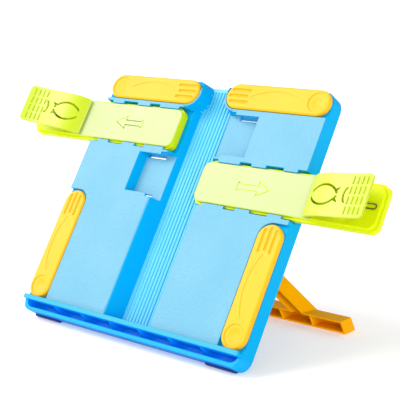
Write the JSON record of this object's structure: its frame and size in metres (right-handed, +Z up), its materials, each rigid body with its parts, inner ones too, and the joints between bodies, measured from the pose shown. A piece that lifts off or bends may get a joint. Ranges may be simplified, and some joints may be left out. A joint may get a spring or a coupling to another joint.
{
  "type": "book stand",
  "caption": "Folding book stand: a moulded blue board with a ribbed spine trough, sliding page-clip arms, swing-out rests and a folding A-frame leg.",
  "frame": {"origin": "floor level, at the middle of the stand's box seen from above", "axes": "+X to the reader's right along the board, +Y away from the reader towards the leg, +Z up"},
  "size_m": [0.338, 0.1355, 0.1772],
  "materials": {
    "board_blue": "fine-grained injection-moulded ABS, sky blue",
    "rubber_navy": "matt rubber foot pad, navy",
    "arm_lime": "satin moulded ABS, pale lime",
    "clip_lime": "semi-gloss moulded ABS, lime",
    "steel_wire": "drawn spring wire",
    "steel_bright": "plated steel fasteners and pins",
    "rest_yellow": "satin moulded ABS, warm yellow",
    "leg_orange": "satin moulded ABS, orange"
  },
  "bodies": {
    "board": {"board": "board_blue", "front_foot_pads": "rubber_navy", "leg_hinge_pin": "steel_bright"},
    "left_arm": {"left_arm": "arm_lime", "left_clip_spring": "steel_wire"},
    "right_arm": {"right_arm": "arm_lime", "right_clip_spring": "steel_wire"},
    "left_clip": {"left_clip_lever": "clip_lime", "left_clip_pin": "steel_bright"},
    "right_clip": {"right_clip_lever": "clip_lime", "right_clip_pin": "steel_bright"},
    "top_left_rest": {"top_left_rest": "rest_yellow", "top_left_washer": "steel_bright", "top_left_screw": "steel_bright"},
    "top_right_rest": {"top_right_rest": "rest_yellow", "top_right_washer": "steel_bright", "top_right_screw": "steel_bright"},
    "bottom_left_rest": {"bottom_left_rest": "rest_yellow", "bottom_left_washer": "steel_bright", "bottom_left_screw": "steel_bright"},
    "bottom_right_rest": {"bottom_right_rest": "rest_yellow", "bottom_right_washer": "steel_bright", "bottom_right_screw": "steel_bright"},
    "leg": {"leg": "leg_orange"}
  },
  "joints": [
    {"name": "left_arm_slide", "type": "slide", "parent": "board", "child": "left_arm", "axis": [-1, 0, 0], "range_m": [-0.062, 0.0428]},
    {"name": "right_arm_slide", "type": "slide", "parent": "board", "child": "right_arm", "axis": [1, 0, 0], "range_m": [-0.058, 0.0468]},
    {"name": "left_clip_hinge", "type": "hinge", "parent": "left_arm", "child": "left_clip", "pos_m": [-0.141, 0.01345, 0.14651], "axis": [0, -0.5446, -0.8387], "range_deg": [0, 24], "stiffness_Nm_per_rad": 0.12, "springref_deg": -22.92, "deforming": ["left_clip_spring"]},
    {"name": "right_clip_hinge", "type": "hinge", "parent": "right_arm", "child": "right_clip", "pos_m": [0.141, -0.00724, 0.11465], "axis": [0, 0.5446, 0.8387], "range_deg": [0, 24], "stiffness_Nm_per_rad": 0.12, "springref_deg": -22.92, "deforming": ["right_clip_spring"]},
    {"name": "top_left_rest_swing", "type": "hinge", "parent": "board", "child": "top_left_rest", "pos_m": [-0.0905, 0.03727, 0.16777], "axis": [0, -0.8387, 0.5446], "range_deg": [0, 90]},
    {"name": "top_right_rest_swing", "type": "hinge", "parent": "board", "child": "top_right_rest", "pos_m": [0.0945, 0.03727, 0.16777], "axis": [0, 0.8387, -0.5446], "range_deg": [0, 90]},
    {"name": "bottom_left_rest_swing", "type": "hinge", "parent": "board", "child": "bottom_left_rest", "pos_m": [-0.0905, -0.05581, 0.02444], "axis": [0, -0.8387, 0.5446], "range_deg": [0, 90]},
    {"name": "bottom_right_rest_swing", "type": "hinge", "parent": "board", "child": "bottom_right_rest", "pos_m": [0.0945, -0.05581, 0.02444], "axis": [0, 0.8387, -0.5446], "range_deg": [0, 90]},
    {"name": "leg_fold", "type": "hinge", "parent": "board", "child": "leg", "pos_m": [0.002, 0.00935, 0.08897], "axis": [1, 0, 0], "range_deg": [-63, 0]}
  ]
}
